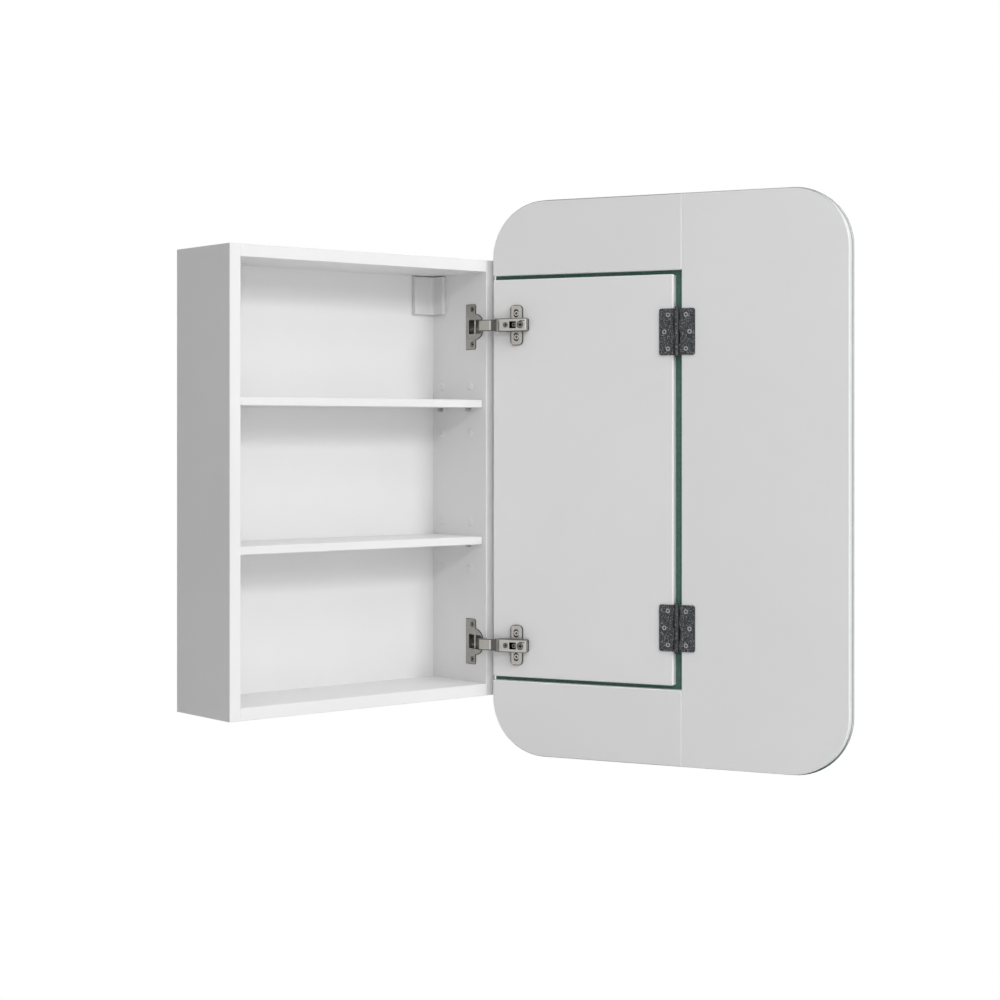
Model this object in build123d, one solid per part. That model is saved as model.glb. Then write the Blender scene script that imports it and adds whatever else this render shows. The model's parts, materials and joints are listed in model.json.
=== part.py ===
"""Wall-hung bathroom cabinet whose mirror door swings on concealed hinges and
whose mirror turns on the door panel.  Pieces are drawn about the middle of the
cabinet's height; the exported frame has its origin on the wall, at the middle
of the top board's rear edge, +Z up, with the front facing -Y.  Millimetres."""
import os
from math import atan2, cos, degrees, hypot, radians, sin, sqrt, tan

from build123d import *

# Cabinet carcass
width = 425.0
height = 594.0
depth = 127.0
board = 16.0
back_face = -9.0
back_thick = 3.2
groove = 6.0
dowel_r = 4.0
dowel_len = 30.0
dowel_rows = (-100.0, -32.0)

# Shelves, pins and caps
shelf_thick = 10.5
shelf_tops = (106.5, -80.5)
shelf_front = -118.7
pin_rows = (-92.0, -29.0)
pin_hole_r = 2.5
pin_deep = 8.0
pin_proud = 7.0
cap_pitch = 32.0
cap_r = 6.0
cap_t = 1.4

# Door, built shut and then swung open about the pole
open_deg = 115.2
pole = (207.2, -138.0)
hinge_edge = 209.5
door_back = -129.0
panel_w = 260.4
panel_h = 538.0
panel_t = 11.5
panel_corner = 2.2
panel_round = 2.0

# Mirror and its backing boards
glass_w = 500.0
glass_h = 752.0
glass_t = 5.0
glass_r = 78.0
glass_arris = 0.7
glass_lip = 2.0
backing_t = 12.0
wing_edge = 272.4
infill_gap = 5.7
wing_slope = 0.5
seam_gap = 0.3
seam_slope = 0.8

# Concealed hinges: pins in plan, links between them, and the arm in door measures
hinge_z = (207.0, -225.5)
cup_y = -104.4
cup_r = 17.5
cup_deep = 12.0
cup_wall = 0.8
flange_y = (-105.0, -83.5)
flange_half = 31.2
flange_t = 1.2
cup_mouth = (-121.2, -91.0)
cup_mouth_half = 9.7
cup_screw_rise = 24.0
cup_screw_sunk = 0.4
cup_pin = (200.81, -111.65)
cup_pin_len = 30.2
cup_axle = (200.5, -98.0)
cup_axle_r = 1.5
cup_axle_len = 31.1
arm_pin = (12.2, 13.35)
inner_len = 24.91
outer_len = 27.52
pin_r = 1.25
knee_r = 1.0
knee_gap = 0.6
eye_r = 2.0
knee_eye = 4.0
sheet = 1.2
cheek = 1.0
link_half = 7.7
web_start = 9.75
web_lift = 3.1
web_tilt = 9.8
web_stop = 2.0
arm_span = (15.5, 55.4)
arm_top = 14.5
arm_foot = 3.6
arm_half = 9.0
nose_r = 2.4
plate_span = (26.9, 45.2)
plate_half = 27.4
plate_t = 3.0
plate_screw_rise = (-16.0, 16.0)
slot_r = 3.7
slot_rise = 2.0
slot_deep = 1.4
block_span = (21.0, 53.0)
block_half = 7.4
side_screw_u = 25.4
depth_slot = (31.0, 40.8)
depth_screw_u = 37.4
cam_u = 46.9

# Butt hinges between the door panel and the mirror
butt_z = (193.5, -193.5)
butt_u = 266.4
butt_h = 2.2
leaf_w = 24.7
leaf_h = 61.0
leaf_t = 1.6
knuckle_r = 3.4
knuckle_gap = 1.4
butt_pin_r = 1.5
butt_tip_r = 2.8
butt_tip = 2.6
butt_screw_spots = ((22.2, 12.5), (0.0, 17.5), (-22.2, 12.5))

# Hangers in the upper back corners
hanger_z = (229.0, 277.6)
hanger_t = 2.0
hanger_y = -34.5
hanger_x = 166.0
hanger_screw_z = (238.0, 270.0)
hanger_screw_y = -27.0
hook_x = 178.0
hook_z = 254.0
hook_half = 15.0
hook_stud_r = 4.0
hook_play = 6.0
cover_z = (227.0, 279.6)
cover_back = 37.4
cover_side = 28.4
cover_t = 7.0
cover_wall = 1.5

inside_x = width / 2 - board
inside_z = height / 2 - board
origin_z = inside_z + board / 2


def slab(x0, x1, y0, y1, z0, z1):
    """Box between two corners."""
    size = Box(abs(x1 - x0), abs(y1 - y0), abs(z1 - z0))
    return Pos((x0 + x1) / 2, (y0 + y1) / 2, (z0 + z1) / 2) * size


def rod(x, y, z, r, length, axis="z"):
    """Cylinder centred on a point."""
    turn = {"x": Rot(0, 90, 0), "y": Rot(90, 0, 0), "z": Rot(0, 0, 0)}[axis]
    return Pos(x, y, z) * turn * Cylinder(r, length)


def closed(u, h, z):
    """Point on the shut door: u from the hinge edge, h behind its back face."""
    return (hinge_edge - u, door_back + h, z)


def panel_slab(u0, u1, h0, h1, z0, z1):
    """Box in the shut door's own measures."""
    return slab(hinge_edge - u1, hinge_edge - u0, door_back + h0, door_back + h1, z0, z1)


def swing(shape):
    """Turn a shut door piece to the open rest position."""
    return shape.rotate(Axis((pole[0], pole[1], 0), (0, 0, 1)), open_deg)


def turned(x, y):
    """Plan point of the shut door after the swing."""
    a = radians(open_deg)
    dx = x - pole[0]
    dy = y - pole[1]
    return (pole[0] + dx * cos(a) - dy * sin(a), pole[1] + dx * sin(a) + dy * cos(a))


def knee():
    """Where the two hinge links meet with the door open."""
    bx, by, _ = closed(arm_pin[0], arm_pin[1], 0)
    bx, by = turned(bx, by)
    dx = bx - cup_pin[0]
    dy = by - cup_pin[1]
    span = hypot(dx, dy)
    along = (inner_len ** 2 - outer_len ** 2 + span ** 2) / (2 * span)
    side = sqrt(inner_len ** 2 - along ** 2)
    cx = cup_pin[0] + (dx * along + dy * side) / span
    cy = cup_pin[1] + (dy * along - dx * side) / span
    return (bx, by), (cx, cy)


def soften(shape, size, pick):
    """Small chamfer on the edges that the pick function keeps."""
    edges = [e for e in shape.edges() if pick(e)]
    return chamfer(edges, size)


def at_y(value):
    """Edges lying in one plane across the depth."""
    return lambda e: e.bounding_box().max.Y < value + 0.01 and e.bounding_box().min.Y > value - 0.01


def cross(reach, bar, deep):
    """Cross recess sunk from z = 0."""
    arms = Box(2 * reach, bar, 2 * deep) + Box(bar, 2 * reach, 2 * deep)
    return arms


def screw_plain(r, length, head_r, head_t):
    """Countersunk screw along -Z with its head face on z = 0 and a cross recess."""
    cone = Pos(0, 0, -head_t / 2) * Cone(r, head_r, head_t)
    shank = Pos(0, 0, -(head_t + length) / 2) * Cylinder(r, length - head_t)
    return cone + shank - cross(head_r * 0.64, head_r * 0.42, 0.8)


def screw_pan(r, length, head_r, head_t):
    """Pan head screw along -Z, its head standing on z = 0, with a cross recess."""
    head = Pos(0, 0, head_t / 2) * Cylinder(head_r, head_t)
    head = chamfer(head.edges().group_by(Axis.Z)[-1], head_t * 0.4)
    shank = Pos(0, 0, -length / 2) * Cylinder(r, length)
    return head + shank - Pos(0, 0, head_t) * cross(head_r * 0.64, head_r * 0.42, 0.7)


# Carcass
def dowel_spots():
    """Centres of the eight dowels that join the carcass."""
    spots = []
    for sx in (-1, 1):
        for sz in (-1, 1):
            for y in dowel_rows:
                spots.append((sx * (inside_x - 5.0), y, sz * (inside_z + board / 2)))
    return spots


def dowels():
    return [rod(x, y, z, dowel_r, dowel_len, "x") for x, y, z in dowel_spots()]


def side_holes(sign):
    """Pin and cap holes bored from the inner face of one side."""
    holes = []
    for top in shelf_tops:
        centre = top - shelf_thick - pin_hole_r
        for y in pin_rows:
            for step in (-cap_pitch, 0.0, cap_pitch):
                holes.append(rod(sign * (inside_x + 4.5), y, centre + step, pin_hole_r, 9.0, "x"))
    return holes


def side_panel(sign):
    outer = sign * width / 2
    inner = sign * inside_x
    body = slab(min(outer, inner), max(outer, inner), -depth, 0, -height / 2, height / 2)
    body = soften(body, 0.6, at_y(-depth))
    gx = sign * (inside_x + groove / 2)
    body -= slab(gx - groove / 2, gx + groove / 2, back_face, back_face + back_thick,
                 -inside_z - groove, inside_z + groove)
    for hole in side_holes(sign):
        body -= hole
    for spot in dowel_spots():
        if spot[0] * sign > 0:
            body -= rod(*spot, dowel_r, dowel_len, "x")
    for screw in hanger_screw_set(sign):
        body -= screw
    return body


def right_panel():
    """The hinge side: two cup bores and their screw holes."""
    body = side_panel(1)
    for z in hinge_z:
        body -= rod(inside_x + cup_deep / 2, cup_y, z, cup_r, cup_deep, "x")
    for screw in cup_screws():
        body -= screw
    return body


def flat_panel(sign):
    """Top (1) or bottom (-1) board between the sides."""
    z0 = sign * inside_z
    z1 = sign * height / 2
    body = slab(-inside_x, inside_x, -depth, 0, min(z0, z1), max(z0, z1))
    body = soften(body, 0.6, at_y(-depth))
    gz = sign * (inside_z + groove / 2)
    body -= slab(-inside_x, inside_x, back_face, back_face + back_thick, gz - groove / 2, gz + groove / 2)
    for spot in dowel_spots():
        if spot[2] * sign > 0:
            body -= rod(*spot, dowel_r, dowel_len, "x")
    return body


def back_panel():
    edge_x = inside_x + groove - 0.3
    edge_z = inside_z + groove - 0.3
    body = slab(-edge_x, edge_x, back_face, back_face + back_thick, -edge_z, edge_z)
    for sign in (-1, 1):
        body -= hook_slot(sign, back_face - 1, back_face + back_thick + 1)
    return body


def shelf(top):
    body = slab(-inside_x + 0.5, inside_x - 0.5, shelf_front, back_face - 1.0, top - shelf_thick, top)
    return soften(body, 0.6, at_y(shelf_front))


def shelf_pins(top):
    """Four plain pins under one shelf, each half in its hole and half under the board."""
    pins = []
    z = top - shelf_thick - pin_hole_r
    for sign in (-1, 1):
        for y in pin_rows:
            middle = inside_x + (pin_deep - pin_proud) / 2
            pin = rod(sign * middle, y, z, pin_hole_r, pin_deep + pin_proud, "x")
            pins.append(chamfer(pin.edges().filter_by(GeomType.CIRCLE), 0.4))
    return pins


def hole_cap(sign, y, z):
    """Flat cap with a sloped rim and a stem that plugs one spare pin hole."""
    head = Pos(0, 0, cap_t / 2) * Cylinder(cap_r, cap_t)
    head = chamfer(head.edges().group_by(Axis.Z)[-1], cap_t - 0.4, cap_r * 0.35)
    stem = Pos(0, 0, -pin_deep / 2) * Cylinder(pin_hole_r, pin_deep)
    cap = head + stem
    return Pos(sign * inside_x, y, z) * Rot(0, -90 * sign, 0) * cap


def hole_caps():
    caps = []
    for sign in (-1, 1):
        for top in shelf_tops:
            centre = top - shelf_thick - pin_hole_r
            for y in pin_rows:
                caps.append(hole_cap(sign, y, centre - cap_pitch))
                caps.append(hole_cap(sign, y, centre + cap_pitch))
    return caps


# Hangers
def hook_slot(sign, y0, y1):
    """Upright slot that the hook's stud travels in."""
    x = sign * hook_x
    wide = hook_stud_r + 0.5
    tall = hook_stud_r + hook_play
    return slab(x - wide, x + wide, y0, y1, hook_z - tall, hook_z + tall)


def hanger_screw_set(sign):
    """Two screws that hold one bracket to its side."""
    screws = []
    for z in hanger_screw_z:
        place = Pos(sign * (inside_x - hanger_t), hanger_screw_y, z) * Rot(0, -90 * sign, 0)
        screws.append(place * screw_plain(1.9, 13.0, 3.8, 1.9))
    return screws


def hanger_bracket(sign):
    """Steel angle in the corner: one leaf on the side, one on the back."""
    inner = sign * (inside_x - hanger_t)
    outer = sign * inside_x
    z0, z1 = hanger_z
    leaf = slab(min(inner, outer), max(inner, outer), hanger_y, back_face, z0, z1)
    far = sign * hanger_x
    leaf += slab(min(far, outer), max(far, outer), back_face - hanger_t, back_face, z0, z1)
    leaf -= hook_slot(sign, back_face - 3.0, back_face + 1.0)
    for screw in hanger_screw_set(sign):
        leaf -= screw
    return leaf


def hanger_hook(sign):
    """Stud with an inside nut and a plate behind the back that hooks on a wall rail."""
    x = sign * hook_x
    z = hook_z
    stud = rod(x, -8.4, z, hook_stud_r, 9.8, "y")
    nut = rod(x, -12.3, z, 6.2, 1.8, "y")
    plate = slab(x - hook_half, x + hook_half, -5.3, -3.3, z - 16.0, z + 18.0)
    lip = slab(x - hook_half, x + hook_half, -3.3, -1.6, z + 10.0, z + 18.0)
    drop = slab(x - hook_half, x + hook_half, -1.6, -0.2, z + 2.0, z + 18.0)
    return stud + nut + plate + lip + drop


def hanger_cover(sign):
    """Moulded corner cover with two faces meeting in a small cove, open towards both walls."""
    z0, z1 = cover_z
    corner_x = sign * (inside_x - 0.4)
    corner_y = back_face - 0.4
    inner_x = corner_x - sign * cover_t
    inner_y = corner_y - cover_t
    far_x = corner_x - sign * cover_back
    far_y = corner_y - cover_side
    face = make_face(Polyline(
        (corner_x, corner_y), (far_x, corner_y), (far_x, inner_y),
        (inner_x, inner_y), (inner_x, far_y), (corner_x, far_y), close=True))
    body = extrude(Pos(0, 0, z0) * face, amount=z1 - z0)
    valley = [
        e for e in body.edges()
        if abs(e.center().X - inner_x) < 0.1 and abs(e.center().Y - inner_y) < 0.1
    ]
    body = fillet(valley, 5.0)
    body = chamfer(body.edges().group_by(Axis.Z)[0] + body.edges().group_by(Axis.Z)[-1], 0.6)
    past = corner_x + sign
    rooms = ((inner_x + sign * cover_wall, far_y + cover_wall),
             (far_x + sign * cover_wall, inner_y + cover_wall))
    for x, y in rooms:
        body -= slab(x, past, y, corner_y + 1.0, z0 + cover_wall, z1 - cover_wall)
    return body


# Concealed hinges
def near(shapes, z):
    """Those of both hinges' pieces that belong to the hinge at one height."""
    return [s for s in shapes if abs(s.center().Z - z) < 40.0]


def cup_screw_spots():
    return [(cup_y + 6.0, z + dz) for z in hinge_z for dz in (-cup_screw_rise, cup_screw_rise)]


def cup_screws():
    """Screws sunk a little in the flange."""
    screws = []
    for y, z in cup_screw_spots():
        place = Pos(inside_x - flange_t + cup_screw_sunk, y, z) * Rot(0, -90, 0)
        screws.append(place * screw_plain(1.75, 14.0, 3.2, 1.5))
    return screws


def cup_pivots(z):
    """The pin the inner link turns on, and the cup's second pin across its mouth."""
    return [rod(*cup_pin, z, pin_r, cup_pin_len), rod(*cup_axle, z, cup_axle_r, cup_axle_len)]


def hinge_cup(z):
    """Pressed cup with a flange; the flange has the opening that the links leave by."""
    y0, y1 = flange_y
    cup = rod(inside_x + cup_deep / 2, cup_y, z, cup_r, cup_deep, "x")
    inner = cup_deep - cup_wall
    hollow = rod(inside_x + inner / 2, cup_y, z, cup_r - cup_wall, inner, "x")
    plate = slab(inside_x - flange_t, inside_x, y0, y1, z - flange_half, z + flange_half)
    front = [e for e in plate.edges().filter_by(Axis.X) if e.center().Y < y0 + 1]
    plate = fillet(front, 3.5)
    rim = rod(inside_x - flange_t / 2, cup_y, z, cup_r + 0.3, flange_t, "x")
    face = plate + rim
    face = soften(face, 0.55, lambda e: abs(e.bounding_box().max.X - inside_x + flange_t) < 0.01)
    body = cup + face - hollow
    body -= slab(inside_x - 2.0, inside_x + 1.0, *cup_mouth, z - cup_mouth_half, z + cup_mouth_half)
    for pin in cup_pivots(z):
        body -= pin
    for y, zs in cup_screw_spots():
        if abs(zs - z) < 40.0:
            body -= rod(inside_x - 1.0, y, zs, 3.9, 1.2, "x")
    for screw in near(cup_screws(), z):
        body -= screw
    return body


def prism(points, half):
    """Plan outline stood up a half height either side of z = 0."""
    return extrude(make_face(Polyline(*points, close=True)), amount=half, both=True)


def inner_link(z):
    """Wide flat link from the cup pin to the knee."""
    _, (cx, cy) = knee()
    angle = degrees(atan2(cy - cup_pin[1], cx - cup_pin[0]))
    tall = 2 * (link_half - cheek) - 0.8
    bar = Pos(inner_len / 2, 0, 0) * Box(inner_len, 3.2, tall)
    bar += Cylinder(eye_r, 15.0)
    bar += Pos(inner_len, 0, 0) * Cylinder(2.4, tall)
    bar -= Cylinder(pin_r + 0.05, 20.0)
    bar -= Pos(inner_len, 0, 0) * Cylinder(knee_r + knee_gap, 20.0)
    return Pos(cup_pin[0], cup_pin[1], z) * Rot(0, 0, angle) * bar


def web_inner(along):
    """Height of the web's inner face over the pin line; open, it lies level with the arm's top."""
    return web_lift + (along - outer_len) * tan(radians(web_tilt))


def on_outer_link(shape, z):
    """Carry a shape drawn along X from the arm pin to the open hinge."""
    (bx, by), (cx, cy) = knee()
    return Pos(bx, by, z) * Rot(0, 0, degrees(atan2(cy - by, cx - bx))) * shape


def outer_link(z):
    """Pressed channel link: cheeks with an eye at each pin, a cranked web and a short floor."""
    end = outer_len + 1.0
    room = link_half - cheek
    body = prism([
        (0, -1.5), (end, -1.5), (end, web_inner(end) + sheet),
        (web_start, web_inner(web_start) + sheet), (web_start - 1.0, 1.0), (0, 1.0)], link_half)
    body += Cylinder(eye_r, 2 * link_half)
    body += Pos(outer_len, 0, 0) * Cylinder(knee_eye, 2 * link_half)
    body -= prism([
        (2.6, -0.9), (2.6, 6.0), (web_start, 6.0), (web_start, web_inner(web_start)),
        (33.0, web_inner(33.0)), (33.0, -6.0), (7.0, -6.0), (7.0, -0.9)], room)
    body -= prism([(-4.0, -4.0), (2.6, -4.0), (2.6, 4.0), (-4.0, 4.0)], room)
    last = outer_len - web_stop
    body -= prism([(last, -6.0), (33.0, -6.0), (33.0, 9.0), (last, 9.0)], room)
    body -= Cylinder(pin_r + 0.05, 20.0)
    body -= Pos(outer_len, 0, 0) * Cylinder(knee_r, 20.0)
    return on_outer_link(body, z)


def hinge_spring(z):
    """Spring coiled on the arm pin between the cheeks, its leaf bearing under the web."""
    half = link_half - cheek - 0.2
    thick = 0.7
    tip = web_start + 1.75
    bend = web_inner(web_start)
    rest = web_inner(tip)
    leaf = prism([
        (0, -0.9), (7.0, -0.9), (web_start, bend - thick), (tip, rest - thick),
        (tip, rest), (web_start, bend), (6.8, thick - 0.9), (0, thick - 0.9)], half)
    coil = leaf + Cylinder(eye_r, 2 * half)
    return on_outer_link(coil - Cylinder(pin_r + 0.1, 20.0), z)


def knee_pin(z):
    _, (cx, cy) = knee()
    return rod(cx, cy, z, knee_r, 2 * link_half)


def arm_pivot(z):
    x, y, _ = closed(arm_pin[0], arm_pin[1], z)
    return swing(rod(x, y, z, pin_r, 2 * arm_half))


def bored(u, h, z, r, deep):
    """Round hole sunk into the door hardware from a height above the panel."""
    x, y, _ = closed(u, h, z)
    return rod(x, y - deep / 2, z, r, deep, "y")


def hinge_plate(z):
    """Cruciform plate screwed to the door panel, with the block that the arm clips on."""
    wings = panel_slab(*plate_span, 0, plate_t, z - plate_half, z + plate_half)
    wings = fillet(wings.edges().filter_by(Axis.Y), 6.5)
    wings = soften(wings, 0.7, at_y(door_back + plate_t))
    for dz in plate_screw_rise:
        for lift in (-slot_rise, slot_rise):
            wings -= bored(plate_middle(), plate_t, z + dz + lift, slot_r, slot_deep)
        wings -= panel_slab(plate_middle() - slot_r, plate_middle() + slot_r, plate_t - slot_deep, plate_t,
                            z + dz - slot_rise, z + dz + slot_rise)
    block = panel_slab(*block_span, 0, arm_top - sheet, z - block_half, z + block_half)
    block -= panel_slab(*depth_slot, 5.0, arm_top, z - 5.0, z + 5.0)
    plate = swing(wings + block)
    for screw in near(plate_screws() + side_screws() + depth_screws() + cam_screws(), z):
        plate -= screw
    return plate


def plate_middle():
    return (plate_span[0] + plate_span[1]) / 2


def plate_screws():
    screws = []
    for z in hinge_z:
        for dz in plate_screw_rise:
            place = Pos(*closed(plate_middle(), plate_t - 0.6, z + dz)) * Rot(-90, 0, 0)
            screws.append(swing(place * screw_plain(2.1, 10.7, 3.3, 1.4)))
    return screws


def hinge_arm(z):
    """Channel arm over the plate: rounded shell, a top with slot and screw holes, nose lugs for the pin."""
    u0, u1 = arm_span
    shell = panel_slab(u0, u1, arm_foot, arm_top, z - arm_half, z + arm_half)
    far = [e for e in shell.edges().filter_by(Axis.Y) if e.center().X < hinge_edge - u1 + 1]
    shell = fillet(far, 3.0)
    top = [e for e in shell.edges() if at_y(door_back + arm_top)(e)]
    shell = fillet(top, 1.2)
    room = arm_half - cheek
    arm = shell - panel_slab(u0 - 1, u1 - cheek, 0, arm_top - sheet, z - room, z + room)
    for sign in (-1, 1):
        z0, z1 = sorted((z + sign * room, z + sign * arm_half))
        arm += panel_slab(arm_pin[0], u0 + 3.0, arm_pin[1] - nose_r, arm_top - 1.2, z0, z1)
        arm += rod(*closed(arm_pin[0], arm_pin[1], (z0 + z1) / 2), nose_r, cheek)
    arm -= panel_slab(*depth_slot, arm_top - 2.0, arm_top + 1, z - 4.7, z + 4.7)
    arm -= bored(side_screw_u, arm_top + 1, z, 3.6, 3.0)
    arm -= bored(cam_u, arm_top + 1, z, 5.0, 3.0)
    arm -= panel_slab(cam_u - 1.0, u1 - 1.8, arm_top - 2.0, arm_top + 1, z + 4.7, z + 5.7)
    return swing(arm) - arm_pivot(z)


def arm_screw_set(u, h, screw):
    """One upright screw per hinge on the arm's middle line."""
    return [swing(Pos(*closed(u, h, z)) * Rot(-90, 0, 0) * screw) for z in hinge_z]


def side_screws():
    return arm_screw_set(side_screw_u, arm_top - 0.6, screw_plain(2.0, 6.0, 2.9, 0.6))


def depth_screws():
    return arm_screw_set(depth_screw_u, arm_top - 1.5, screw_pan(2.0, 10.0, 3.1, 1.2))


def cam_screws():
    return arm_screw_set(cam_u, arm_top - 0.5, screw_plain(3.4, 4.0, 4.2, 0.7))


# Door panel
def door_panel():
    body = panel_slab(0, panel_w, -panel_t, 0, -panel_h / 2, panel_h / 2)
    body = fillet(body.edges().filter_by(Axis.Y), panel_corner)
    body = swing(fillet([e for e in body.edges() if at_y(door_back)(e)], panel_round))
    for screw in plate_screws() + butt_door_screws():
        body -= screw
    return body


# Butt hinges
def butt_leaf(z, side):
    """One leaf with two of the four knuckles; side -1 is the door, 1 the mirror."""
    u0 = butt_u + side * 2.6
    u1 = butt_u + side * leaf_w
    leaf = panel_slab(min(u0, u1), max(u0, u1), 0, leaf_t, z - leaf_h / 2, z + leaf_h / 2)
    far = [e for e in leaf.edges().filter_by(Axis.Y) if abs(e.center().X - (hinge_edge - u1)) < 0.1]
    leaf = fillet(far, 3.0)
    clear = knuckle_r + knuckle_gap
    x, y, _ = closed(butt_u, butt_h, z)
    pitch = leaf_h / 4
    first = 1.5 if side < 0 else 0.5
    for k in (first, first - 2.0):
        other = k - 1.0 if side < 0 else k + 1.0
        knuckle = rod(x, y, z + k * pitch, knuckle_r, pitch - 0.5)
        knuckle += panel_slab(min(butt_u, u0), max(butt_u, u0), butt_h - knuckle_r + 0.4, leaf_t,
                              z + k * pitch - pitch / 2 + 0.25, z + k * pitch + pitch / 2 - 0.25)
        leaf -= rod(x, y, z + other * pitch, clear, pitch)
        leaf += knuckle
    bore = butt_pin_r if side < 0 else butt_pin_r + 0.05
    return leaf - rod(x, y, z, bore, leaf_h + 10.0)


def butt_pins():
    """Hinge pins with bevelled tips that stand past the knuckles."""
    pins = []
    for z in butt_z:
        x, y, _ = closed(butt_u, butt_h, z)
        pin = rod(x, y, z, butt_pin_r, leaf_h)
        for sign in (-1, 1):
            tip = rod(x, y, z + sign * (leaf_h + butt_tip) / 2, butt_tip_r, butt_tip)
            ring = tip.edges().group_by(Axis.Z)[-1 if sign > 0 else 0]
            pin += chamfer(ring, 1.0)
        pins.append(swing(pin))
    return pins


def butt_screws(side):
    screws = []
    for z in butt_z:
        for dz, out in butt_screw_spots:
            place = Pos(*closed(butt_u + side * out, leaf_t, z + dz)) * Rot(-90, 0, 0)
            screws.append(swing(place * screw_plain(1.75, 11.0, 2.9, 1.4)))
    return screws


def butt_door_screws():
    return butt_screws(-1)


def butt_mirror_screws():
    return butt_screws(1)


def drilled_leaf(z, side):
    leaf = swing(butt_leaf(z, side))
    for screw in near(butt_screws(side), z):
        leaf -= screw
    return leaf


# Mirror
def mirror_outline(inset, front, thick):
    """Rounded rectangle of the glass, drawn in by an inset."""
    body = panel_slab(-glass_lip + inset, glass_w - glass_lip - inset, front - thick, front,
                      -glass_h / 2 + inset, glass_h / 2 - inset)
    return fillet(body.edges().filter_by(Axis.Y), glass_r - inset)


def mirror_glass():
    glass = mirror_outline(0, -backing_t, glass_t)
    rims = [e for e in glass.edges() if abs(e.bounding_box().max.Y - e.bounding_box().min.Y) < 0.01]
    return swing(chamfer(rims, glass_arris))


def backing(u0, u1, z0, z1, slope):
    """Part of the backing board inside the mirror's outline, its rear edges sloped."""
    whole = mirror_outline(glass_lip, 0, backing_t)
    body = whole & panel_slab(u0, u1, -backing_t - 1, 1, z0, z1)
    return soften(body, slope, at_y(door_back))


def wing_board():
    body = swing(backing(wing_edge, glass_w, -glass_h, glass_h, wing_slope))
    for screw in butt_mirror_screws():
        body -= screw
    return body


def infill(sign):
    z0, z1 = sorted((sign * (panel_h / 2 + infill_gap), sign * glass_h))
    return swing(backing(-10.0, wing_edge - seam_gap, z0, z1, seam_slope))


def one(shape):
    """Single solid of a shape, moved to the exported origin."""
    return Pos(0, 0, -origin_z) * shape.solids()[0]


def group(shapes):
    """Several like pieces kept as separate solids of one node."""
    return Compound(children=[one(s) for s in shapes])


def build_nodes():
    up, low = hinge_z
    butt_up, butt_low = butt_z
    return {
        "left_side": one(side_panel(-1)),
        "right_side": one(right_panel()),
        "top_panel": one(flat_panel(1)),
        "bottom_panel": one(flat_panel(-1)),
        "back_panel": one(back_panel()),
        "carcass_dowels": group(dowels()),
        "upper_shelf": one(shelf(shelf_tops[0])),
        "lower_shelf": one(shelf(shelf_tops[1])),
        "upper_shelf_pins": group(shelf_pins(shelf_tops[0])),
        "lower_shelf_pins": group(shelf_pins(shelf_tops[1])),
        "hole_caps": group(hole_caps()),
        "left_hanger_bracket": one(hanger_bracket(-1)),
        "right_hanger_bracket": one(hanger_bracket(1)),
        "hanger_screws": group(hanger_screw_set(-1) + hanger_screw_set(1)),
        "left_hanger_hook": one(hanger_hook(-1)),
        "right_hanger_hook": one(hanger_hook(1)),
        "left_hanger_cover": one(hanger_cover(-1)),
        "right_hanger_cover": one(hanger_cover(1)),
        "upper_hinge_cup": one(hinge_cup(up)),
        "lower_hinge_cup": one(hinge_cup(low)),
        "cup_pivot_pins": group(cup_pivots(up) + cup_pivots(low)),
        "cup_screws": group(cup_screws()),
        "upper_inner_link": one(inner_link(up)),
        "lower_inner_link": one(inner_link(low)),
        "upper_outer_link": one(outer_link(up)),
        "lower_outer_link": one(outer_link(low)),
        "upper_hinge_spring": one(hinge_spring(up)),
        "lower_hinge_spring": one(hinge_spring(low)),
        "upper_knee_pin": one(knee_pin(up)),
        "lower_knee_pin": one(knee_pin(low)),
        "upper_hinge_arm": one(hinge_arm(up)),
        "lower_hinge_arm": one(hinge_arm(low)),
        "arm_pivot_pins": group([arm_pivot(up), arm_pivot(low)]),
        "upper_hinge_plate": one(hinge_plate(up)),
        "lower_hinge_plate": one(hinge_plate(low)),
        "plate_screws": group(plate_screws()),
        "side_adjust_screws": group(side_screws()),
        "depth_adjust_screws": group(depth_screws()),
        "clip_cam_screws": group(cam_screws()),
        "door_panel": one(door_panel()),
        "upper_butt_door_leaf": one(drilled_leaf(butt_up, -1)),
        "lower_butt_door_leaf": one(drilled_leaf(butt_low, -1)),
        "butt_hinge_pins": group(butt_pins()),
        "butt_door_screws": group(butt_door_screws()),
        "upper_butt_mirror_leaf": one(drilled_leaf(butt_up, 1)),
        "lower_butt_mirror_leaf": one(drilled_leaf(butt_low, 1)),
        "butt_mirror_screws": group(butt_mirror_screws()),
        "wing_board": one(wing_board()),
        "top_infill": one(infill(1)),
        "bottom_infill": one(infill(-1)),
        "mirror_glass": one(mirror_glass()),
    }


def export_all():
    os.makedirs("parts", exist_ok=True)
    for name, shape in build_nodes().items():
        shape.label = name
        export_step(shape, f"parts/{name}.step")


export_all()
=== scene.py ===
import json
import math
import bpy
import numpy as np
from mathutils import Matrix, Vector

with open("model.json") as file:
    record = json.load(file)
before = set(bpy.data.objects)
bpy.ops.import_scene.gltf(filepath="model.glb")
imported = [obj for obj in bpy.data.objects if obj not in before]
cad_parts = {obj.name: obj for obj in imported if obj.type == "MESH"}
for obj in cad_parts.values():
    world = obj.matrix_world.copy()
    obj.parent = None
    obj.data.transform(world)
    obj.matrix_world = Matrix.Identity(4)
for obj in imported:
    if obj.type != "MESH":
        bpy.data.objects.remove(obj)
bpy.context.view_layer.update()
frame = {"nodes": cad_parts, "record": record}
nodes = frame["nodes"]
print("frame loaded:", len(nodes), "nodes")

# the camera stands where the perspective of the photograph puts it, level, with the frame moved down
cameraSet = {
    "place": (-1.5674, -2.2979, -0.2263),
    "yaw": 39.48,       # degrees from +Y towards +X
    "lens": 73.79,
    "sensor": 36.0,
    "drop": -0.0681,
    "clip": (0.05, 60.0),
}


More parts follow.
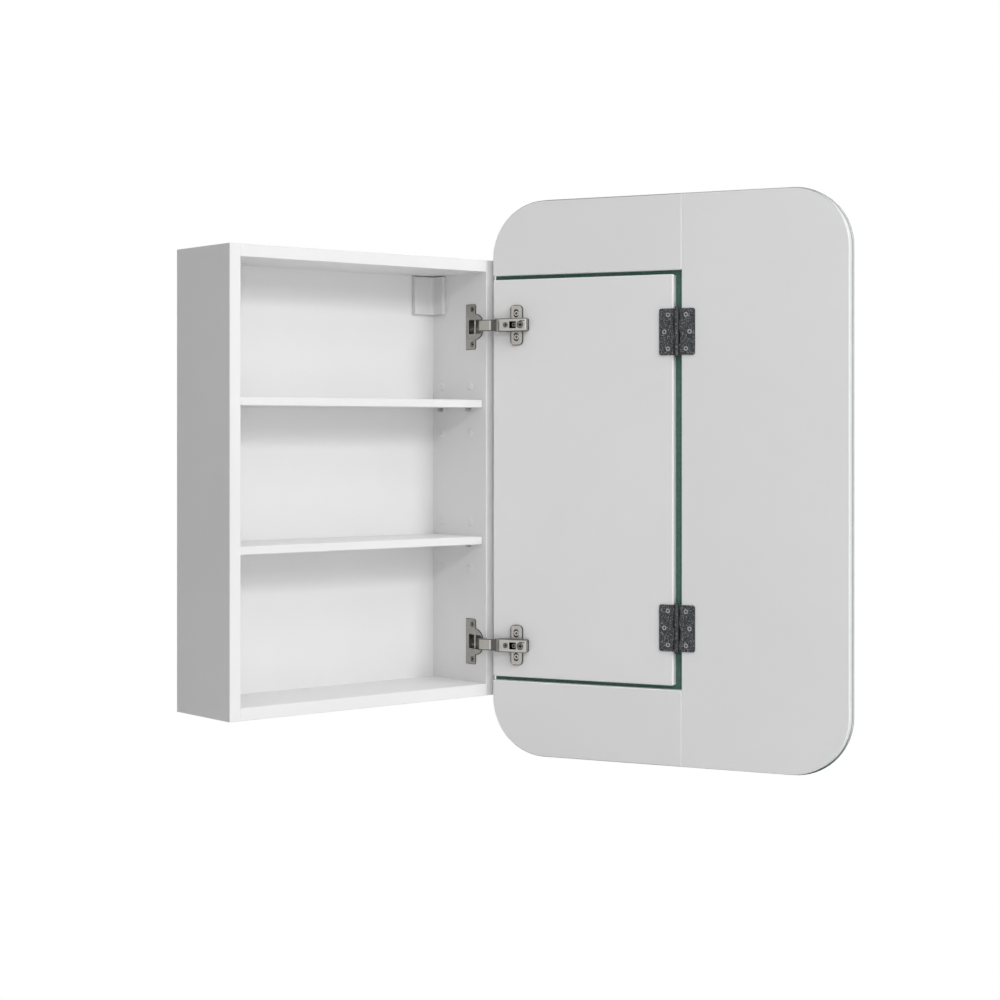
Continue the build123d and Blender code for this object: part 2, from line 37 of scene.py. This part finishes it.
def makeCamera(s):
    data = bpy.data.cameras.new("photoCamera")
    data.lens = s["lens"]
    data.sensor_width = s["sensor"]
    data.shift_y = s["drop"]
    data.clip_start, data.clip_end = s["clip"]
    cam = bpy.data.objects.new("photoCamera", data)
    cam.location = s["place"]
    cam.rotation_euler = (math.radians(90.0), 0.0, -math.radians(s["yaw"]))
    bpy.context.scene.collection.objects.link(cam)
    bpy.context.scene.camera = cam
    print("camera placed")


# the directions that the finishes follow: up, out of the right side's inner face, out of the open door's
# back face, and along the door away from its hinges
doorSet = {"openDeg": 115.2}
doorTurn = math.radians(doorSet["openDeg"])
upright = Vector((0.0, 0.0, 1.0))
sideOut = Vector((-1.0, 0.0, 0.0))
doorOut = Vector((-math.sin(doorTurn), math.cos(doorTurn), 0.0))
doorAlong = Vector((-math.cos(doorTurn), -math.sin(doorTurn), 0.0))


# how far a node goes along a direction, from its first point to its last
def reach(name, axis):
    mesh = nodes[name].data
    points = np.empty(len(mesh.vertices) * 3)
    mesh.vertices.foreach_get("co", points)
    run = points.reshape(-1, 3) @ np.array(axis)
    return float(run.min()), float(run.max())


# node graph helpers
noiseSpan = (0.3, 0.7)      # most values of a noise texture lie between these


def newMaterial(name):
    mat = bpy.data.materials.new(name)
    mat.use_nodes = True
    tree = mat.node_tree
    return mat, tree, tree.nodes["Principled BSDF"]


def add(tree, kind, **settings):
    node = tree.nodes.new(kind)
    for key, value in settings.items():
        setattr(node, key, value)
    return node


# gives a socket another node's output, or a constant
def feed(tree, socket, value):
    if isinstance(value, bpy.types.NodeSocket):
        tree.links.new(value, socket)
    else:
        socket.default_value = value


def place(tree, scale=(1.0, 1.0, 1.0)):
    coords = add(tree, "ShaderNodeTexCoord")
    mapping = add(tree, "ShaderNodeMapping")
    mapping.inputs["Scale"].default_value = scale
    tree.links.new(coords.outputs["Object"], mapping.inputs["Vector"])
    return mapping.outputs["Vector"]


# how far a point lies along a direction, or how much of its normal points that way
def along(tree, axis, output="Object"):
    coords = add(tree, "ShaderNodeTexCoord")
    dot = add(tree, "ShaderNodeVectorMath", operation="DOT_PRODUCT")
    dot.inputs[1].default_value = axis
    tree.links.new(coords.outputs[output], dot.inputs[0])
    return dot.outputs["Value"]


def compute(tree, operation, *values):
    node = add(tree, "ShaderNodeMath", operation=operation)
    for socket, value in zip(node.inputs, values):
        feed(tree, socket, value)
    return node.outputs[0]


def noise(tree, where, scale, detail=3.0, rough=0.55):
    node = add(tree, "ShaderNodeTexNoise")
    node.inputs["Scale"].default_value = scale
    node.inputs["Detail"].default_value = detail
    node.inputs["Roughness"].default_value = rough
    tree.links.new(where, node.inputs["Vector"])
    return node.outputs["Fac"]


def spread(tree, value, low, high, fromLow=noiseSpan[0], fromHigh=noiseSpan[1]):
    node = add(tree, "ShaderNodeMapRange")
    node.inputs["From Min"].default_value = fromLow
    node.inputs["From Max"].default_value = fromHigh
    node.inputs["To Min"].default_value = low
    node.inputs["To Max"].default_value = high
    tree.links.new(value, node.inputs["Value"])
    return node.outputs["Result"]


def ramp(tree, value, stops):
    node = add(tree, "ShaderNodeValToRGB")
    first, last = node.color_ramp.elements
    first.position, first.color = stops[0]
    last.position, last.color = stops[-1]
    for position, colour in stops[1:-1]:
        node.color_ramp.elements.new(position).color = colour
    tree.links.new(value, node.inputs["Fac"])
    return node.outputs["Color"]


# a noise texture between two colours
def mottle(tree, value, low, high):
    return ramp(tree, value, list(zip(noiseSpan, (low, high))))


# sockets of a mix node by its data type: factor, first value and second value, then the result
mixSockets = {"RGBA": ((0, 6, 7), 2), "FLOAT": ((0, 2, 3), 0)}


def blend(tree, factor, low, high, kind="RGBA"):
    node = add(tree, "ShaderNodeMix", data_type=kind)
    places, result = mixSockets[kind]
    for index, value in zip(places, (factor, low, high)):
        feed(tree, node.inputs[index], value)
    return node.outputs[result]


def bump(tree, shader, height, strength, distance):
    node = add(tree, "ShaderNodeBump")
    node.inputs["Strength"].default_value = strength
    node.inputs["Distance"].default_value = distance
    tree.links.new(height, node.inputs["Height"])
    tree.links.new(node.outputs["Normal"], shader.inputs["Normal"])


def grey(value):
    return (value, value, value, 1.0)


def shade(colour, share):
    return (colour[0] * share, colour[1] * share, colour[2] * share, 1.0)


# silvered glass: the place across the sheet tells the silvered face, the cut edge and the painted back
# apart, and the distance to the rounded outline leaves a clear margin round the paint.  The margin's grey
# is partly the clear glass and partly painted shade from the board beside it, and the under tone is
# painted shade.  Each tone is a colour and how much it varies
glassSet = {
    "tones": {
        "silver": ((0.86, 0.88, 0.88), 0.015),
        "arris": ((0.78, 0.80, 0.80), 0.03),
        "edge": ((0.20, 0.225, 0.22), 0.06),
        "under": ((0.055, 0.10, 0.09), 0.12),
        # margin: clear glass, kept dark partly as painted shade from the board beside it
        "margin": ((0.36, 0.38, 0.38), 0.03),
        "paint": ((0.080, 0.170, 0.136), 0.15),
    },
    "speck": 240.0,
    "lip": 0.0022,
    "corner": 0.078,
    "arris": 0.0007,
    "facingDown": (0.05, 0.55),     # painted shade on the rim as its normal turns down, between these shares
    "overFoot": (0.012, 0.070),     # and painted shade on the rim between these heights over the foot of the sheet
    "roughEdge": 0.14,
    "roughBack": 0.45,
    "roughFront": 0.015,
    "specular": 0.15,
}


# how far past the straight part of one side a point lies, never below nought
def overrun(tree, value, middle, straight):
    size = compute(tree, "ABSOLUTE", compute(tree, "SUBTRACT", value, middle))
    return compute(tree, "MAXIMUM", compute(tree, "SUBTRACT", size, straight), 0.0)


# distance from the inner straight-sided field of the mirror, which at its rim equals the corner radius
def towardsRim(tree, corner):
    pair = add(tree, "ShaderNodeCombineXYZ")
    for socket, axis in zip(pair.inputs, (doorAlong, upright)):
        start, stop = reach("mirror_glass", axis)
        past = overrun(tree, along(tree, axis), (start + stop) / 2, (stop - start) / 2 - corner)
        tree.links.new(past, socket)
    length = add(tree, "ShaderNodeVectorMath", operation="LENGTH")
    tree.links.new(pair.outputs[0], length.inputs[0])
    return length.outputs["Value"]


# share of the rim with painted shade: what faces down, and all that lies near the foot of the sheet
def shadedLowRim(tree, s):
    facing = spread(tree, along(tree, -upright, "Normal"), 0.0, 1.0, *s["facingDown"])
    foot = reach("mirror_glass", upright)[0]
    start, stop = (foot + height for height in s["overFoot"])
    return compute(tree, "MAXIMUM", facing, spread(tree, along(tree, upright), 1.0, 0.0, start, stop))


def silvered(name, s):
    mat, tree, shader = newMaterial(name)
    low, high = reach("mirror_glass", -doorOut)
    across = along(tree, -doorOut)
    isFront = compute(tree, "GREATER_THAN", across, high - s["arris"] / 2)
    isBack = compute(tree, "LESS_THAN", across, low + s["arris"] / 2)
    nearBack = compute(tree, "LESS_THAN", across, low + s["arris"])
    inMargin = compute(tree, "GREATER_THAN", towardsRim(tree, s["corner"]), s["corner"] - s["lip"])
    speck = noise(tree, place(tree), s["speck"])
    tones = {}
    for key, (colour, gain) in s["tones"].items():
        tones[key] = mottle(tree, speck, shade(colour, 1 - gain), shade(colour, 1 + gain))
    # the low rim's painted shade darkens the cut edge and the margin into the under tone
    dark = shadedLowRim(tree, s)
    edge = blend(tree, dark, blend(tree, nearBack, tones["edge"], tones["arris"]), tones["under"])
    margin = blend(tree, dark, tones["margin"], tones["under"])
    back = blend(tree, inMargin, tones["paint"], margin)
    colour = blend(tree, isFront, blend(tree, isBack, edge, back), tones["silver"])
    tree.links.new(colour, shader.inputs["Base Color"])
    tree.links.new(isFront, shader.inputs["Metallic"])
    behind = spread(tree, isBack, s["roughEdge"], s["roughBack"], 0.0, 1.0)
    rough = blend(tree, isFront, behind, s["roughFront"], "FLOAT")
    tree.links.new(rough, shader.inputs["Roughness"])
    shader.inputs["Specular IOR Level"].default_value = s["specular"]
    return mat


# melamine: near-white with a faint cloud in the colour, a fine pebbled press texture and a satin
# roughness.  The door's boards have a painted highlight on their edges: edge is its colour, and
# edgeTurn holds the shares of the door's outward direction between which an edge goes over into a
# face.  Boards marked rim also have the darker line below
boardSet = {
    "carcass_white": {
        "tone": 0.75, "cloud": 0.012, "rough": (0.36, 0.46), "pebble": 950.0, "depth": 0.00006},
    "shelf_white": {
        "tone": 0.735, "cloud": 0.012, "rough": (0.34, 0.44), "pebble": 950.0, "depth": 0.00006},
    "back_white": {
        "tone": 0.765, "cloud": 0.010, "rough": (0.40, 0.50), "pebble": 700.0, "depth": 0.00008},
    "door_white": {
        "tone": 0.715, "cloud": 0.010, "rough": (0.36, 0.46), "pebble": 950.0, "depth": 0.00006,
        "edge": 0.84, "edgeTurn": (0.30, 0.60)},
    "backing_white": {
        "tone": 0.695, "cloud": 0.010, "rough": (0.36, 0.46), "pebble": 950.0, "depth": 0.00006,
        "edge": 0.84, "edgeTurn": (0.75, 0.97), "rim": True},
}
boardLook = {"cloudScale": 6.0, "specular": 0.4, "bump": 0.12}
# the sloped rear edges of the backing boards are darker in a band along the top and bottom of the mirror's
# outline
rimSet = {"band": 0.0032, "tone": 0.30, "sloped": 0.3, "level": (0.25, 0.55)}


def rimLine(tree, colour, s, tone):
    corner = glassSet["corner"]
    outer = compute(tree, "GREATER_THAN", towardsRim(tree, corner), corner - s["band"])
    sloped = compute(tree, "GREATER_THAN", along(tree, doorOut, "Normal"), s["sloped"])
    tilt = compute(tree, "ABSOLUTE", along(tree, upright, "Normal"))
    level = spread(tree, tilt, 0.0, 1.0, *s["level"])
    share = compute(tree, "MULTIPLY", compute(tree, "MULTIPLY", level, outer), sloped)
    return blend(tree, share, colour, grey(tone * s["tone"]))


def melamine(name, s):
    mat, tree, shader = newMaterial(name)
    where = place(tree)
    cloud = noise(tree, where, boardLook["cloudScale"], detail=4.0)
    colour = mottle(tree, cloud, grey(s["tone"] - s["cloud"]), grey(s["tone"] + s["cloud"]))
    if "edge" in s:
        # painted highlight: the edges of the door's boards take the whiter edge colour
        onFace = spread(tree, along(tree, doorOut, "Normal"), 0.0, 1.0, *s["edgeTurn"])
        colour = blend(tree, onFace, grey(s["edge"]), colour)
    if "rim" in s:
        colour = rimLine(tree, colour, rimSet, s["tone"])
    tree.links.new(colour, shader.inputs["Base Color"])
    pebble = noise(tree, where, s["pebble"], detail=2.0)
    tree.links.new(spread(tree, pebble, *s["rough"]), shader.inputs["Roughness"])
    shader.inputs["Specular IOR Level"].default_value = boardLook["specular"]
    bump(tree, shader, pebble, boardLook["bump"], s["depth"])
    return mat


# moulded white plastic: very fine spark texture
plasticSet = {
    "cap_white": {"tone": 0.72, "rough": (0.30, 0.40), "spark": 2200.0},
    "cover_white": {"tone": 0.65, "rough": (0.42, 0.55), "spark": 1600.0},
}
plasticLook = {"cloud": 0.01, "cloudScale": 30.0, "bump": 0.10, "depth": 0.00005}


def moulded(name, s):
    mat, tree, shader = newMaterial(name)
    where = place(tree)
    cloud = noise(tree, where, plasticLook["cloudScale"])
    dark, light = s["tone"] - plasticLook["cloud"], s["tone"] + plasticLook["cloud"]
    colour = mottle(tree, cloud, grey(dark), grey(light))
    tree.links.new(colour, shader.inputs["Base Color"])
    spark = noise(tree, where, s["spark"], detail=2.0)
    tree.links.new(spread(tree, spark, *s["rough"]), shader.inputs["Roughness"])
    bump(tree, shader, spark, plasticLook["bump"], plasticLook["depth"])
    return mat


# plated metal: a drawn grain along the piece and small stains in the colour.  Surfaces that turn from the
# listed faces take painted shade: how far the surface turns from them mixes the face's colour and the
# shade.  Bends that face highlightAxis take a painted highlight
metalSet = {
    "pivot_steel": {"colour": (0.44, 0.42, 0.38), "rough": (0.22, 0.36), "grain": (900.0, 900.0, 60.0)},
    "pin_steel": {"colour": (0.52, 0.52, 0.52), "rough": (0.24, 0.38), "grain": (80.0, 900.0, 900.0)},
    "hanger_zinc": {"colour": (0.56, 0.57, 0.58), "rough": (0.30, 0.52), "grain": (300.0, 300.0, 300.0)},
    "spring_steel": {"colour": (0.16, 0.155, 0.15), "rough": (0.32, 0.50), "grain": (60.0, 60.0, 900.0)},
    "cup_nickel": {"colour": (0.34, 0.33, 0.31), "rough": (0.24, 0.42), "grain": (60.0, 60.0, 900.0)},
    "plate_nickel": {"colour": (0.48, 0.465, 0.44), "rough": (0.24, 0.42), "grain": (60.0, 60.0, 900.0)},
    "arm_nickel": {"colour": (0.51, 0.495, 0.465), "rough": (0.24, 0.42), "grain": (60.0, 60.0, 900.0)},
    "link_steel": {"colour": (0.44, 0.43, 0.40), "rough": (0.26, 0.44), "grain": (60.0, 60.0, 900.0)},
    "screw_nickel": {"colour": (0.56, 0.54, 0.51), "rough": (0.22, 0.34), "grain": (700.0, 700.0, 700.0)},
    "adjust_screw": {"colour": (0.22, 0.215, 0.20), "rough": (0.22, 0.34), "grain": (700.0, 700.0, 700.0)},
    "butt_screw": {"colour": (0.37, 0.37, 0.38), "rough": (0.24, 0.38), "grain": (700.0, 700.0, 700.0)},
}
stainAndPaintedLightSet = {
    "stain": (0.93, 1.05),      # shares of the colour that the stains go between
    "stainScale": 140.0,
    "shadedEdge": 0.20,           # painted shade: share of its colour that an edge turned from the faces keeps
    "flat": (0.78, 0.96),       # from painted-shade edge to face, by the share of the face's direction
    "bendHighlight": 1.7,           # painted highlight: how much brighter a bend is than the flat
    "bend": (0.25, 0.60),       # from flat to painted-highlight bend, by the share of the bend's direction
    "bump": 0.06,
    "depth": 0.00004,
}


# zones are (axis, from, to, tone) of painted shade or painted highlight: between two places along the axis
# the tone multiplies the metal's colour
def plated(name, s, faces=(), highlightAxis=None, zones=()):
    mat, tree, shader = newMaterial(name)
    grain = noise(tree, place(tree, s["grain"]), 1.0, detail=4.0)
    stain = noise(tree, place(tree), stainAndPaintedLightSet["stainScale"])
    colour = mottle(tree, stain, *(shade(s["colour"], share) for share in stainAndPaintedLightSet["stain"]))
    # painted shade on surfaces turned from the listed faces
    if faces:
        turned = along(tree, faces[0], "Normal")
        for axis in faces[1:]:
            turned = compute(tree, "MAXIMUM", turned, along(tree, axis, "Normal"))
        flat = spread(tree, turned, 0.0, 1.0, *stainAndPaintedLightSet["flat"])
        colour = blend(tree, flat, shade(s["colour"], stainAndPaintedLightSet["shadedEdge"]), colour)
    # painted highlight on bends that face highlightAxis
    if highlightAxis is not None:
        bend = spread(tree, along(tree, highlightAxis, "Normal"), 0.0, 1.0, *stainAndPaintedLightSet["bend"])
        colour = blend(tree, bend, colour, shade(s["colour"], stainAndPaintedLightSet["bendHighlight"]))
    for axis, start, stop, tone in zones:
        where = along(tree, axis)
        past = compute(tree, "GREATER_THAN", where, start)
        inside = compute(tree, "MULTIPLY", past, compute(tree, "LESS_THAN", where, stop))
        colour = blend(tree, inside, colour, shade(s["colour"], tone))
    tree.links.new(colour, shader.inputs["Base Color"])
    shader.inputs["Metallic"].default_value = 1.0
    tree.links.new(spread(tree, grain, *s["rough"]), shader.inputs["Roughness"])
    bump(tree, shader, grain, stainAndPaintedLightSet["bump"], stainAndPaintedLightSet["depth"])
    return mat


# hammered dark coat of the butt hinges: pale flecks on a near-black ground, and painted shade where the
# metal turns from the door's outward direction, where the ground alone shows
hammerSet = {
    "stops": [
        (0.38, (0.012, 0.013, 0.015, 1.0)),
        (0.53, (0.031, 0.033, 0.036, 1.0)),
        (0.66, (0.29, 0.30, 0.32, 1.0))],
    "dents": 640.0,
    "flecks": 576.0,
    "turn": (0.72, 0.99),
    "rough": (0.36, 0.56),
    "metallic": 0.35,
    "bump": 0.25,
    "depth": 0.00015,
}


def hammered(name, s):
    mat, tree, shader = newMaterial(name)
    where = place(tree)
    dents = add(tree, "ShaderNodeTexVoronoi")
    dents.inputs["Scale"].default_value = s["dents"]
    tree.links.new(where, dents.inputs["Vector"])
    flecks = noise(tree, where, s["flecks"], detail=4.0, rough=0.72)
    # painted shade: the flecks give way to the dark ground on the barrel's sides
    facing = spread(tree, along(tree, doorOut, "Normal"), 0.0, 1.0, *s["turn"])
    ground = s["stops"][0][1]
    colour = blend(tree, facing, ground, ramp(tree, flecks, s["stops"]))
    tree.links.new(colour, shader.inputs["Base Color"])
    shader.inputs["Metallic"].default_value = s["metallic"]
    tree.links.new(spread(tree, flecks, *s["rough"]), shader.inputs["Roughness"])
    bump(tree, shader, dents.outputs["Distance"], s["bump"], s["depth"])
    return mat


# turned beech, with its fibres along the dowels
beechSet = {
    "dark": (0.52, 0.36, 0.21, 1.0),
    "light": (0.72, 0.55, 0.36, 1.0),
    "fibre": (40.0, 900.0, 900.0),
    "rough": (0.5, 0.7),
    "bump": 0.2,
    "depth": 0.0001,
}


def beech(name, s):
    mat, tree, shader = newMaterial(name)
    fibre = noise(tree, place(tree, s["fibre"]), 1.0, detail=4.0)
    tree.links.new(mottle(tree, fibre, s["dark"], s["light"]), shader.inputs["Base Color"])
    tree.links.new(spread(tree, fibre, *s["rough"]), shader.inputs["Roughness"])
    bump(tree, shader, fibre, s["bump"], s["depth"])
    return mat


# zones of painted shade and painted highlight on the hinges' metal, each (from, to, tone), in metres from
# the place that it is put at
zoneSet = {
    "flangeShade": (-0.0016, -0.0003, 0.14),      # painted shade on screw holes and cut edges, under the flange's face
    # painted shade in the cup's hollow, under the flange's face
    "cupHollowShade": (-0.0200, -0.0016, 0.75),
    "plateFootShade": (-0.0010, 0.0026, 0.10),        # painted shade on cut edges and slot floors, over the panel
    "plateBarShade": (-0.0095, -0.0079, 0.45),       # painted shade line on the rolled near edge of the upright bar, from its middle
    "plateBlockShade": (0.0035, 0.0200, 0.05),       # painted shade: near black on the block seen through the arm's holes, over the panel
    # painted highlight on the arm's near end
    "armNearHighlight": (0.0, 0.0030, stainAndPaintedLightSet["bendHighlight"]),
    # painted shade on the arm's far end
    "armFarShade": (-0.0008, 0.0010, 0.80),
    "armFootShade": (0.0, 0.0080, 0.12),             # painted shade on the sheared foot of the walls, over the panel
    "linkBendHighlight": (-0.0114, -0.0092, stainAndPaintedLightSet["bendHighlight"]),   # painted highlight on the bend where the web starts, from the pin
    "shadeLine": (-0.0012, 0.0012, 0.33),      # painted shade line along a rolled-over edge
    "headRecessShade": (-0.0500, -0.00015, 0.04),    # painted shade on all of a screw that lies under the face of its head
}
hingeEnds = ("upper_", "lower_")


def zone(axis, origin, key):
    start, stop, tone = zoneSet[key]
    return axis, origin + start, origin + stop, tone


# painted shade lines along the top and bottom edges of one piece on both hinges
def shadeLines(piece):
    return [zone(upright, edge, "shadeLine") for end in hingeEnds for edge in reach(end + piece, upright)]


def hingeFinishes():
    flange = reach("upper_hinge_cup", sideOut)[1]
    panelBack = reach("door_panel", doorOut)[1]
    plateMid = sum(reach("upper_hinge_plate", doorAlong)) / 2
    armStart, armStop = reach("upper_hinge_arm", doorAlong)
    pinAt = sum(reach("arm_pivot_pins", doorAlong)) / 2
    cup = plated("nickel_cup", metalSet["cup_nickel"], faces=[sideOut], zones=[
        zone(sideOut, flange, "flangeShade"),
        zone(sideOut, flange, "cupHollowShade")])
    plate = plated("nickel_plate", metalSet["plate_nickel"], faces=[doorOut], zones=[
        zone(doorOut, panelBack, "plateFootShade"),
        zone(doorAlong, plateMid, "plateBarShade"),
        *shadeLines("hinge_plate"),
        zone(doorOut, panelBack, "plateBlockShade")])
    armFaces = [doorOut, doorAlong, -doorAlong, (doorOut - doorAlong).normalized()]
    arm = plated("nickel_arm", metalSet["arm_nickel"], faces=armFaces, highlightAxis=-doorAlong, zones=[
        zone(doorAlong, armStart, "armNearHighlight"),
        zone(doorAlong, armStop, "armFarShade"),
        zone(doorOut, panelBack, "armFootShade"),
        *shadeLines("hinge_arm")])
    link = plated("steel_link", metalSet["link_steel"], faces=[doorOut], zones=[
        zone(doorAlong, pinAt, "linkBendHighlight"),
        *shadeLines("outer_link")])
    pieces = {
        "hinge_cup": cup, "hinge_plate": plate, "hinge_arm": arm, "outer_link": link, "inner_link": link}
    return {end + piece: mat for end in hingeEnds for piece, mat in pieces.items()}


# metal of the screws, and the way that their heads face
headSet = {
    "side_adjust_screws": ("adjust_screw", doorOut),
    "depth_adjust_screws": ("adjust_screw", doorOut),
    "clip_cam_screws": ("adjust_screw", doorOut),
    "plate_screws": ("screw_nickel", doorOut),
    "cup_screws": ("adjust_screw", sideOut),
    "butt_door_screws": ("butt_screw", doorOut),
    "butt_mirror_screws": ("butt_screw", doorOut),
}


def screwFinishes():
    finish = {}
    for name, (metal, axis) in headSet.items():
        # painted shade in the recess under the face of each screw head
        recess = zone(axis, reach(name, axis)[1], "headRecessShade")
        finish[name] = plated(metal + "_" + name, metalSet[metal], zones=[recess])
    return finish


# a node takes its own finish where it has one, and otherwise the one of its material slot
def dressNodes():
    slots = {}
    for name, s in boardSet.items():
        slots[name] = melamine(name, s)
    for name, s in plasticSet.items():
        slots[name] = moulded(name, s)
    for name in ("pivot_steel", "pin_steel", "hanger_zinc", "spring_steel"):
        slots[name] = plated(name, metalSet[name])
    slots["butt_gunmetal"] = hammered("butt_gunmetal", hammerSet)
    slots["dowel_beech"] = beech("dowel_beech", beechSet)
    slots["mirror"] = silvered("mirror", glassSet)
    own = {**hingeFinishes(), **screwFinishes()}
    slotOf = {p["node"]: p["material_slot"] for p in frame["record"]["subparts"]}
    for name, obj in nodes.items():
        obj.data.materials.clear()
        obj.data.materials.append(own.get(name) or slots[slotOf[name]])
    print("finishes on", len(nodes), "nodes")


# white room: a pale floor well below the hung part, an even sky, broad lamps above and low in front, two
# small ones high on the left and on the right that draw the shadows, and a broad one behind for the sides
# the photograph hides
stageSet = {"floor": -1.55, "size": 30.0, "paint": 0.9, "rough": 0.9, "sky": 0.14, "white": 1.0}
lampSet = {
    "topLamp": {"power": 92.0, "size": 4.0, "place": (-0.5, -2.0, 3.2), "aim": (0.0, 0.0, -0.3)},
    "lowLamp": {"power": 37.0, "size": 3.0, "place": (-0.8, -3.2, -1.1), "aim": (0.0, 0.0, -0.3)},
    "leftLamp": {"power": 32.0, "size": 0.5, "place": (-2.12, -3.60, 1.33), "aim": (0.0, 0.0, -0.289)},
    "rightLamp": {"power": 48.0, "size": 1.2, "place": (0.80, -4.10, 1.30), "aim": (0.0, 0.0, -0.289)},
    "rearLamp": {"power": 36.0, "size": 3.0, "place": (2.2, 2.6, 1.0), "aim": (0.0, 0.0, -0.289)},
}


# rays that show the room itself come from the camera, from a reflection or through glass, and to these it
# is plain white
def showsRoom(tree):
    path = add(tree, "ShaderNodeLightPath")
    shown = compute(tree, "MAXIMUM", path.outputs["Is Camera Ray"], path.outputs["Is Glossy Ray"])
    return compute(tree, "MAXIMUM", shown, path.outputs["Is Transmission Ray"])


def makeFloor(s):
    half = s["size"] / 2
    corners = [(-half, -half), (half, -half), (half, half), (-half, half)]
    mesh = bpy.data.meshes.new("floor")
    mesh.from_pydata([(x, y, s["floor"]) for x, y in corners], [], [(0, 1, 2, 3)])
    floor = bpy.data.objects.new("floor", mesh)
    bpy.context.scene.collection.objects.link(floor)
    mat, tree, shader = newMaterial("floorPaint")
    shader.inputs["Base Color"].default_value = grey(s["paint"])
    shader.inputs["Roughness"].default_value = s["rough"]
    glow = add(tree, "ShaderNodeEmission")
    glow.inputs["Strength"].default_value = s["white"]
    mix = add(tree, "ShaderNodeMixShader")
    for socket, value in zip(mix.inputs, (showsRoom(tree), shader.outputs[0], glow.outputs[0])):
        tree.links.new(value, socket)
    tree.links.new(mix.outputs[0], tree.nodes["Material Output"].inputs["Surface"])
    mesh.materials.append(mat)


def makeSky(s):
    world = bpy.data.worlds.new("sky")
    bpy.context.scene.world = world
    world.use_nodes = True
    tree = world.node_tree
    background = tree.nodes["Background"]
    background.inputs["Color"].default_value = grey(1.0)
    level = spread(tree, showsRoom(tree), s["sky"], s["white"], 0.0, 1.0)
    tree.links.new(level, background.inputs["Strength"])
    print("stage set")


def makeLamps(lamps):
    for name, s in lamps.items():
        lamp = bpy.data.lights.new(name, "AREA")
        lamp.size = s["size"]
        lamp.energy = s["power"]
        obj = bpy.data.objects.new(name, lamp)
        obj.location = s["place"]
        obj.rotation_euler = (Vector(s["aim"]) - Vector(s["place"])).to_track_quat("-Z", "Y").to_euler()
        bpy.context.scene.collection.objects.link(obj)
    print("lamps lit:", len(lamps))


makeCamera(cameraSet)
dressNodes()
makeFloor(stageSet)
makeSky(stageSet)
makeLamps(lampSet)
bpy.context.scene.view_settings.view_transform = "Standard"
